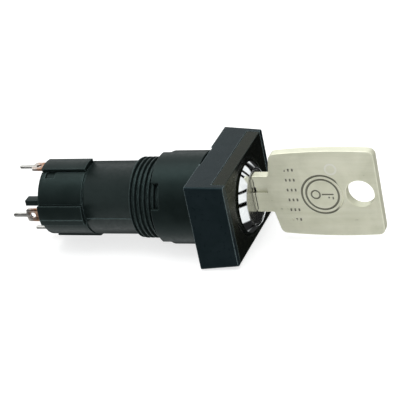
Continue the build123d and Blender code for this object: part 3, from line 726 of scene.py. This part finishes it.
# rear housing
house = {"core": 7.25, "rib": 7.9, "ribHalf": 16.0, "bore": 6.0, "front": houseLo.y / mm, "end": houseHi.y / mm,
         "spigot": 6.25, "spigotBore": 5.65, "guide": 1.0, "stem": 2.25, "groove": 6.9, "grooveWidth": 0.45,
         "slotHalf": 11.9, "slotFrom": 25.95, "window": 112.0, "windowHalf": 7.5, "windowFrom": 31.4,
         "windowTo": 33.4, "edge": 0.12, "earHalf": 8.0, "earTo": 21.8, "relief": 7.02, "reliefHalf": 17.7}
ribMids = [0, 90, 180, 270]
terminalMids = [90, 180, 270]
earMids = [0, 180]
windowMids = [house["window"], house["window"] + 180]


def houseFilled(r, a, y):
    rib = near(a, ribMids, house["ribHalf"])
    if y < barrelEnd:
        if r > house["spigot"]:
            return False
        if y > barrelEnd - house["guide"]:
            return r > house["stem"]
        ear = y < house["earTo"] and near(a, earMids, house["earHalf"])
        return r > house["spigotBore"] and not ear
    if r < house["bore"]:
        return False
    if y < barrelEnd + house["grooveWidth"]:
        return r < house["groove"]
    if r > house["core"]:
        return rib
    if r > house["relief"] and not rib and near(a, ribMids, house["reliefHalf"]):
        return False
    if y > house["slotFrom"] and near(a, terminalMids, house["slotHalf"]):
        return False
    if house["windowFrom"] < y < house["windowTo"] and near(a, windowMids, house["windowHalf"]):
        return False
    return True


houseEdges = bothSides(ribMids, house["ribHalf"]) + bothSides(ribMids, house["reliefHalf"])
houseEdges += bothSides(terminalMids, house["slotHalf"]) + bothSides(windowMids, house["windowHalf"])
houseEdges += bothSides(earMids, house["earHalf"])
rearHousing = polarSolid(
    "rearHousing", [house["stem"], house["spigotBore"], house["bore"], house["spigot"], house["groove"],
                    house["relief"], house["core"], house["rib"]], houseEdges,
    [house["front"], house["earTo"], barrelEnd - house["guide"], barrelEnd, barrelEnd + house["grooveWidth"],
     house["slotFrom"], house["windowFrom"], house["windowTo"], house["end"]], houseFilled)
soften(rearHousing, house["edge"])
houseFlash = flashLine(house["rib"], barrelEnd + parting["houseFrom"], parting["houseTo"])
rearHousing = joined("rearHousing", [rearHousing, houseFlash])
smoothBy(rearHousing, softEdge["smooth"])
place(rearHousing, blackPlastic, "housing", "black_plastic", "contact_housing")

# terminal base with its post
base = {"disc": 5.95, "tongue": 6.72, "tooth": 6.95, "front": 33.3, "end": house["end"], "armIn": 5.3,
        "edge": 0.1, "armHalf": house["windowHalf"] - 0.5, "tongueHalf": house["slotHalf"] - 0.3,
        "armFrom": house["windowFrom"] + 0.05, "sunk": 0.02, "step": 6.0, "postWidth": 2.0, "postHeight": 1.2,
        "postDrop": 0.85, "postEnd": baseHi.y / mm, "postRoot": 0.3, "postRound": 0.12, "postEdge": 0.08}


def baseFilled(r, a, y):
    window = near(a, windowMids, base["armHalf"])
    if y < base["front"]:
        return window and r > base["armIn"] and (r < base["disc"] or y < house["windowTo"])
    if r < base["disc"]:
        return True
    return r < base["tongue"] and near(a, terminalMids, base["tongueHalf"])


baseDisc = polarSolid("baseDisc", [0, base["armIn"], base["disc"], base["tongue"], base["tooth"]],
                      bothSides(terminalMids, base["tongueHalf"]) + bothSides(windowMids, base["armHalf"]),
                      [base["armFrom"], base["front"], base["end"] - base["sunk"]], baseFilled, base["step"])
soften(baseDisc, base["edge"], 2)
postHalf, postRoot = base["postWidth"] / 2, base["end"] - base["postRoot"]
postOutline = roundedOutline([
    (-postHalf, postRoot, 0), (postHalf, postRoot, 0),
    (postHalf, base["postEnd"], base["postRound"]), (-postHalf, base["postEnd"], base["postRound"])], 6)
post = flatPlate("post", [postOutline], base["postHeight"], base["postEdge"],
                 lambda x, y, h: (x, y, h - base["postDrop"]))
terminalBase = joined("terminalBase", [baseDisc, post])
smoothBy(terminalBase, softEdge["smooth"])
place(terminalBase, blackPlastic, "housing", "black_plastic", "terminal_base")
print("stage 5: rear housing")

# terminals
lug = {"width": 2.8, "thick": 0.5, "radius": 7.0, "lugEnd": 37.3, "tipEnd": 40.3, "tipWidth": 0.8,
       "eyelet": 0.55, "eyeletY": 35.95, "eyeSteps": 32, "edge": 0.07, "rootRound": 0.15, "shoulderRound": 0.5,
       "neckRound": 0.25, "tipRound": 0.35, "smooth": 35, "tabDeeper": 1.0, "tabShort": 0.3, "tabRound": 0.05}


# a stamped lug with its eyelet and pin tip, and the tab that carries the fixed contact inside
def terminalPlate(name, node, angle):
    lo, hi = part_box(node)
    start = lo.y / mm
    radial = Vector((cos(radians(angle)), 0, sin(radians(angle))))
    side = Vector((-sin(radians(angle)), 0, cos(radians(angle))))

    def put(x, y, h):
        return radial * (lug["radius"] + h) + side * x + Vector((0, y, 0))

    w, t, end, tip = lug["width"] / 2, lug["tipWidth"] / 2, lug["lugEnd"], lug["tipEnd"]
    root, shoulder, neck, nose = lug["rootRound"], lug["shoulderRound"], lug["neckRound"], lug["tipRound"]
    outline = roundedOutline([(-w, start, root), (w, start, root), (w, end, shoulder), (t, end, neck),
                              (t, tip, nose), (-t, tip, nose), (-t, end, neck), (-w, end, shoulder)], 6)
    eye = circlePoints(0, lug["eyeletY"], lug["eyelet"], lug["eyeSteps"])
    pieces = [flatPlate(name + "Lug", [outline, eye], lug["thick"], lug["edge"], put)]
    outer = max(abs(c) for c in (lo.x, lo.z, hi.x, hi.z)) / mm - lug["tabShort"]
    inner = min(abs(Vector((v.co.x, 0, v.co.z)).dot(radial)) for v in frame["nodes"][node].data.vertices) / mm
    if inner < lug["radius"] - lug["tabDeeper"]:
        tab = roundedOutline([(-w, inner, shoulder), (w, inner, shoulder),
                              (w, outer, lug["tabRound"]), (-w, outer, lug["tabRound"])], 6)
        middle = start + lug["thick"] / 2
        pieces.append(flatPlate(name + "Tab", [tab], lug["thick"], lug["edge"],
                                lambda x, y, h: radial * y + side * x + Vector((0, middle + h, 0))))
    obj = joined(name, pieces)
    smoothBy(obj, lug["smooth"])
    return place(obj, terminalMetal, "housing", "terminal_plate", node)


terminalPlate("terminalClosed", "normally_closed_terminal", 90)
terminalPlate("terminalCommon", "common_terminal", 180)
terminalPlate("terminalOpen", "normally_open_terminal", 270)

# the spring behind the pusher
coilLo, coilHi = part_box("plunger_spring")
coil = {"turns": 5, "wire": 0.4, "steps": 28, "travel": 1.5, "smooth": 60}


# a coil between the pusher's washer and the base
def pusherSpring():
    wire = coil["wire"] / 2
    radius = coilHi.x / mm - wire
    front, back = coilLo.y / mm + wire, coilHi.y / mm - wire
    count = coil["turns"] * coil["steps"]
    points = []
    for i in range(count + 1):
        a = 2 * pi * i / coil["steps"]
        points.append((radius * cos(a), front + (back - front) * i / count, radius * sin(a)))
    obj = tube("pusherSpring", points, wire)
    smoothBy(obj, coil["smooth"])
    place(obj, springSteel, "housing", "spring_steel", "plunger_spring")
    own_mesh(obj)


pusherSpring()

# chrome ring around the lock
ring = {"outer": ringHi.x / mm, "inner": 5.6, "front": ringLo.y / mm, "back": ringHi.y / mm, "bevel": 1.15,
        "nose": 0.12, "noseTurns": (30, 60, 90), "bulge": 0.03, "steps": 10, "segments": 256, "smooth": 40}


# a broad, slightly crowned slope and a rounded inside edge
def ringProfile():
    inner, outer, front, deep = ring["inner"], ring["outer"], ring["front"], ring["bevel"]
    outline = [(inner, ring["back"]), (outer, ring["back"]), (outer, front + deep)]
    flat = inner + ring["nose"]
    for i in range(1, ring["steps"] + 1):
        t = i / ring["steps"]
        outline.append((outer + (flat - outer) * t, front + deep * (1 - t) - ring["bulge"] * 4 * t * (1 - t)))
    turns = [radians(t) for t in ring["noseTurns"]]
    return outline + [(flat - ring["nose"] * sin(t), front + ring["nose"] * (1 - cos(t))) for t in turns]


trimRing = lathe("trimRing", ringProfile(), ring["segments"])
smoothBy(trimRing, ring["smooth"])
place(trimRing, ringChrome, "housing", "chrome_ring", "lock_trim_ring")
print("stage 6: terminals and ring")

# key
keyDims = {"offset": 1.1, "thick": keyHi.x / mm - keyLo.x / mm, "root": -12.4, "end": keyLo.y / mm,
           "shoulder": 0.85, "rootHeight": 17.0, "midHeight": 18.19, "endHeight": 17.6, "corner": 1.3,
           "arcSteps": 24, "neckHeight": 7.8, "neckEnd": -8.95, "neckFillet": 0.35, "neckRound": 0.3,
           "overlap": 0.4, "hole": 2.75, "holeY": -30.1, "holeSteps": 64, "edge": 0.2, "bladeEdge": 0.03,
           "smooth": 35, "flat": 0.9995}
blade = {"low": -2.3, "high": 4.3, "end": keyHi.y / mm, "tipShare": 0.35, "cutFirst": -4.0, "cutPitch": 1.9,
         "cuts": (1.0, 1.5, 0.7, 1.3, 0.9, 1.4), "cutHalf": 0.4, "cutJoin": 0.02, "grooveAbove": 0.3,
         "grooveStart": 0.5, "grooveHeight": 1.2, "grooveDepth": 0.45}
mark = {"centreY": -22.7, "centreZ": 1.0, "rings": (4.05, 3.2), "stroke": 0.22, "ringSteps": 72, "lift": 0.02,
        "signAt": 1.35, "signRadius": 0.85, "signSteps": 28, "signStroke": 0.18, "barFrom": -2.2,
        "barTo": 0.15, "teeth": ((-2.0, -0.45, -1.05), (-1.2, -0.45, -0.85)), "toothStroke": 0.16}
pips = {"y": -16.7, "top": 6.3, "step": 2.15, "rows": 6, "columns": (-0.8, 0.0, 0.8), "half": 0.3,
        "stroke": 0.19}
dent = {"y": -25.1, "z": 6.4, "radius": 0.95, "sink": 0.045, "spread": 1.3, "steps": 6, "around": 48}


# one long edge of the bow, a shallow curve through its three heights
def bowArc(sign):
    k = keyDims
    y0, y2, count = k["root"] - k["shoulder"], k["end"], k["arcSteps"]
    y1 = (y0 + y2) / 2
    h0, h1, h2 = k["rootHeight"] / 2, k["midHeight"] / 2, k["endHeight"] / 2
    out = []
    for i in range(count + 1):
        y = y0 + (y2 - y0) * i / count
        a = h0 * (y - y1) * (y - y2) / ((y0 - y1) * (y0 - y2))
        b = h1 * (y - y0) * (y - y2) / ((y1 - y0) * (y1 - y2))
        c = h2 * (y - y0) * (y - y1) / ((y2 - y0) * (y2 - y1))
        out.append((y, k["offset"] + sign * (a + b + c)))
    return out


# bow and neck; the neck's front end hides the root of the blade
def bowOutline():
    k = keyDims
    top, low, corner = bowArc(1), bowArc(-1), k["corner"]
    neckTop, neckLow = k["offset"] + k["neckHeight"] / 2, k["offset"] - k["neckHeight"] / 2
    corners = [(k["root"], neckTop, k["neckFillet"]), (*top[0], corner)]
    corners += [(y, z, 0) for y, z in top[3:-3]]
    corners += [(*top[-1], corner), (*low[-1], corner)]
    corners += [(y, z, 0) for y, z in low[-4:2:-1]]
    corners += [(*low[0], corner), (k["root"], neckLow, k["neckFillet"]),
                (k["neckEnd"], neckLow, k["neckRound"]), (k["neckEnd"], neckTop, k["neckRound"])]
    return roundedOutline(corners)


# the blade with its wafer cuts and tapered tip
def bladeOutline():
    low, high, end, half = blade["low"], blade["high"], blade["end"], blade["cutHalf"]
    tip = (high - low) * blade["tipShare"]
    start = keyDims["neckEnd"] - keyDims["overlap"]
    corners = [(start, high), (start, low)]
    for i, depth in enumerate(blade["cuts"]):
        y = blade["cutFirst"] + i * blade["cutPitch"]
        before, after = y - half - depth / 2, y + half + depth / 2
        last = corners[-1][0]
        if last > before - blade["cutJoin"]:  # neighbouring cuts meet at or above the blade's edge
            corners[-1] = ((last + before) / 2, low + max(last - before, 0))
        else:
            corners.append((before, low))
        corners += [(y - half, low + depth), (y + half, low + depth), (after, low)]
    meet = (end - tip + 2 * after) / 3  # the last cut's flank runs into the tapered tip
    corners[-1] = (meet, low + 2 * (after - meet))
    return corners + [(end, low + tip), (end, high - tip), (end - tip, high)]


# the stamped double ring, a plain key sign inside it and rows of pips, for one face of the bow
def stampTools(side):
    x, cy, cz = side * (keyDims["thick"] / 2 + mark["lift"]), mark["centreY"], mark["centreZ"]

    def loop(name, y, r, steps, stroke):
        return tube(name, [(x, p, q) for p, q in circlePoints(y, cz, r, steps)], stroke, True)

    thin = mark["signStroke"]
    tools = [loop("stampRing", cy, r, mark["ringSteps"], mark["stroke"]) for r in mark["rings"]]
    tools.append(loop("signRing", cy + mark["signAt"], mark["signRadius"], mark["signSteps"], thin))
    tools.append(tube("signBar", [(x, cy + mark["barFrom"], cz), (x, cy + mark["barTo"], cz)], thin))
    for y, z0, z1 in mark["teeth"]:
        tools.append(tube("signTooth", [(x, cy + y, cz + z0), (x, cy + y, cz + z1)], mark["toothStroke"]))
    for row in range(pips["rows"]):
        z = pips["top"] - row * pips["step"]
        for column in pips["columns"]:
            y = pips["y"] + column
            tools.append(tube("pip", [(x, y, z - pips["half"]), (x, y, z + pips["half"])], pips["stroke"]))
    return tools


# the ball that presses a shallow round dent near the top edge
def dimple(side):
    ballR = (dent["radius"] ** 2 + dent["sink"] ** 2) / (2 * dent["sink"])
    steps, count = dent["steps"], dent["around"]
    half = atan2(dent["radius"] * dent["spread"], ballR)
    verts = [(0, 0, -ballR)]
    for i in range(1, steps + 1):
        a = half * i / steps
        verts += [(p, q, -ballR * cos(a)) for p, q in circlePoints(0, 0, ballR * sin(a), count)]
    faces = [(0, 1 + t, 1 + (t + 1) % count) for t in range(count)]
    for i in range(steps - 1):
        a0, b0 = 1 + i * count, 1 + (i + 1) * count
        faces += [(a0 + t, b0 + t, b0 + (t + 1) % count, a0 + (t + 1) % count) for t in range(count)]
    faces.append(tuple(1 + (steps - 1) * count + t for t in range(count)))
    lift = keyDims["thick"] / 2 - dent["sink"] + ballR
    return meshFrom("dimple", [(side * (lift + z), dent["y"] + x, dent["z"] + y) for x, y, z in verts], faces)


def cutGrooves(obj):
    k = keyDims
    low = k["offset"] + blade["grooveAbove"]
    for side in (-1, 1):
        x0, x1 = sorted((side * (k["thick"] / 2 - blade["grooveDepth"]), side * (k["thick"] / 2 + beyond)))
        boolean(obj, block("wardGroove", (x0, k["root"] + blade["grooveStart"], low),
                           (x1, blade["end"] + beyond, low + blade["grooveHeight"])))


def makeKey():
    k = keyDims
    hole = circlePoints(k["holeY"], k["offset"], k["hole"], k["holeSteps"])
    bow = flatPlate("keyBow", [bowOutline(), hole], k["thick"], k["edge"], lambda x, y, h: (h, x, y), 4)
    blank = flatPlate("keyBlade", [bladeOutline()], k["thick"], k["bladeEdge"], lambda x, y, h: (h, x, y), 0)
    cutGrooves(bow)
    cutGrooves(blank)
    for side in (-1, 1):
        for tool in stampTools(side) + [dimple(side)]:
            boolean(bow, tool)
    obj = joined("key", [bow, blank])
    smoothBy(obj, k["smooth"])
    for face in obj.data.polygons:
        face.use_smooth = abs(face.normal.x) < k["flat"]  # the broad faces stay dead flat
    obj.modifiers.new("flats", "WEIGHTED_NORMAL").keep_sharp = True
    return applyAll(obj)


key = makeKey()
place(key, keyNickel, "key_body", "key_nickel", "key")
print("stage 7: key")

# nodes that keep their CAD shape
kept = {
    "zinc_lock": zincDie, "brass_works": brassSheet, "silver_contact": silverFace,
    "works_plastic": worksPlastic, "spring_steel": springSteel, "seal_rubber": sealRubber,
    "black_plastic": blackPlastic, "terminal_plate": terminalMetal, "key_nickel": keyNickel, "chrome_ring": ringChrome}
slotOf = {s["node"]: s["material_slot"] for s in frame["record"]["subparts"]}
for nodeName, obj in frame["nodes"].items():
    material = kept[slotOf[nodeName]]
    if not obj.material_slots:
        obj.data.materials.append(material)
    for s in obj.material_slots:
        s.link = "OBJECT"
        s.material = material

# floor, light and camera
sheet = {"size": 3.0, "gap": 0.00002, "light": (0.45, 0.45, 0.45), "dark": (0.44325, 0.44325, 0.44325),
         "grain": 900.0, "tones": (0.3, 0.7), "rough": 0.9, "specular": 0.1, "glow": 0.72}


def paperFloor():  # a large pale sheet under the switch, which glows a little so that shadows stay faint
    half = sheet["size"] / 2
    z = cadBox[0][2] - sheet["gap"]
    mesh = bpy.data.meshes.new("floor")
    corners = [(-half, -half, z), (half, -half, z), (half, half, z), (-half, half, z)]
    mesh.from_pydata(corners, [], [(0, 1, 2, 3)])
    obj = newObject("floor", mesh)
    m = Nodes("paper")
    low, high = sheet["tones"]
    tone = m.ramp(m.noise(sheet["grain"]), [(low, sheet["dark"]), (high, sheet["light"])])
    m.link(tone, m.shader.inputs["Base Color"])
    m.shader.inputs["Roughness"].default_value = sheet["rough"]
    m.shader.inputs["Specular IOR Level"].default_value = sheet["specular"]
    m.shader.inputs["Emission Color"].default_value = (1, 1, 1, 1)
    m.shader.inputs["Emission Strength"].default_value = sheet["glow"]
    mesh.materials.append(m.material)
    obj.visible_glossy = False  # the tent, and not the sheet, is what the black parts mirror


paperFloor()

light = {"tone": (0.97, 1.0, 1.0, 1), "bright": 1.0, "dim": 0.12, "dimAt": (-0.93, 0.365, 0.0),
         "dimFrom": 0.66, "dimTo": 0.88, "frontFrom": -0.30, "frontTo": -0.15, "topPower": 1.2, "topSize": 0.35,
         "topAt": (0.02, 0.08, 0.45)}
# dark frame bars and edges of the tent's front opening, as (direction part, brightness)
barsAcross = [(0.285, 1), (0.30, 0), (0.385, 0), (0.40, 1), (0.49, 1), (0.505, 0), (0.585, 0), (0.60, 1),
              (0.80, 1), (0.83, 0.02)]
barsUp = [(-0.80, 0.02), (-0.77, 1), (-0.225, 1), (-0.21, 0), (-0.05, 0), (-0.035, 1), (0.255, 1), (0.27, 0),
          (0.345, 0), (0.36, 1)]
# the low right side of the tent is dark too
shade = {"acrossFrom": 0.30, "acrossTo": 0.46, "upFrom": -0.06, "upTo": 0.10, "left": 0.03}


# a white tent: darker on the camera's left, with frame bars round the opening in front of the key
def whiteTent():
    world = bpy.data.worlds.new("tent")
    bpy.context.scene.world = world
    world.use_nodes = True
    tree = world.node_tree
    tree.nodes["Background"].inputs["Color"].default_value = light["tone"]

    def add(kind, **values):
        node = tree.nodes.new("ShaderNode" + kind)
        for name, value in values.items():
            setattr(node, name, value)
        return node

    def fall(value, low, high, a, b):
        node = add("MapRange", interpolation_type="SMOOTHSTEP")
        for name, v in (("From Min", low), ("From Max", high), ("To Min", a), ("To Max", b)):
            node.inputs[name].default_value = v
        tree.links.new(value, node.inputs["Value"])
        return node.outputs["Result"]

    def bars(value, stops):  # brightness along one direction part, whose range is -1 to 1
        node = add("ValToRGB")
        fillRamp(node.color_ramp.elements, [((at + 1) / 2, (level, level, level)) for at, level in stops])
        tree.links.new(half(value), node.inputs["Fac"])
        return node.outputs["Color"]

    def half(value):
        node = add("Math", operation="MULTIPLY_ADD")
        node.inputs[1].default_value = 0.5
        node.inputs[2].default_value = 0.5
        tree.links.new(value, node.inputs[0])
        return node.outputs[0]

    def times(a, b):
        node = add("Math", operation="MULTIPLY")
        tree.links.new(a, node.inputs[0])
        tree.links.new(b, node.inputs[1])
        return node.outputs[0]

    coords = add("TexCoord")
    facing = add("VectorMath", operation="DOT_PRODUCT")
    facing.inputs[1].default_value = light["dimAt"]
    tree.links.new(coords.outputs["Generated"], facing.inputs[0])
    split = add("SeparateXYZ")
    tree.links.new(coords.outputs["Generated"], split.inputs[0])
    frameBars = times(bars(split.outputs["X"], barsAcross), bars(split.outputs["Z"], barsUp))
    ahead = fall(split.outputs["Y"], light["frontFrom"], light["frontTo"], 1, 0)
    mixed = add("Mix", data_type="FLOAT")
    mixed.inputs[2].default_value = 1
    tree.links.new(ahead, mixed.inputs[0])
    tree.links.new(frameBars, mixed.inputs[3])
    side = fall(facing.outputs["Value"], light["dimFrom"], light["dimTo"], light["bright"], light["dim"])
    lowRight = times(fall(split.outputs["X"], shade["acrossFrom"], shade["acrossTo"], 0, 1),
                     fall(split.outputs["Z"], shade["upFrom"], shade["upTo"], 1, 0))
    side = times(side, fall(lowRight, 0, 1, 1, shade["left"]))
    tree.links.new(times(side, mixed.outputs[0]), tree.nodes["Background"].inputs["Strength"])


def softbox(name, location, power, size):  # aimed at the middle of the switch
    data = bpy.data.lights.new(name, "AREA")
    data.energy = power
    data.size = size
    obj = newObject(name, data)
    obj.location = location
    obj.rotation_euler = (-Vector(location)).to_track_quat("-Z", "Y").to_euler()


whiteTent()
softbox("topLight", light["topAt"], light["topPower"], light["topSize"])

# the camera's three directions, its distance in metres, and its lens
view = {"right": (0.32269, -0.92799, -0.18630), "up": (0.49510, -0.00226, 0.86883),
        "back": (-0.80669, -0.37260, 0.45872), "distance": 0.350, "lens": 162.488, "sensor": 36.0,
        "shift": (-0.033625, -0.0079), "near": 0.01, "far": 20.0}


def makeCamera():
    data = bpy.data.cameras.new("camera")
    obj = newObject("camera", data)
    r, u, b = (Vector(view[k]) for k in ("right", "up", "back"))
    turn = Matrix((r, u, b)).transposed().to_4x4()
    obj.matrix_world = Matrix.Translation(b * view["distance"]) @ turn
    data.sensor_width = view["sensor"]
    data.lens = view["lens"]
    data.shift_x, data.shift_y = view["shift"]
    data.clip_start, data.clip_end = view["near"], view["far"]
    bpy.context.scene.camera = obj


makeCamera()
bpy.context.scene.view_settings.view_transform = "Standard"
print("stage 8: stage set")
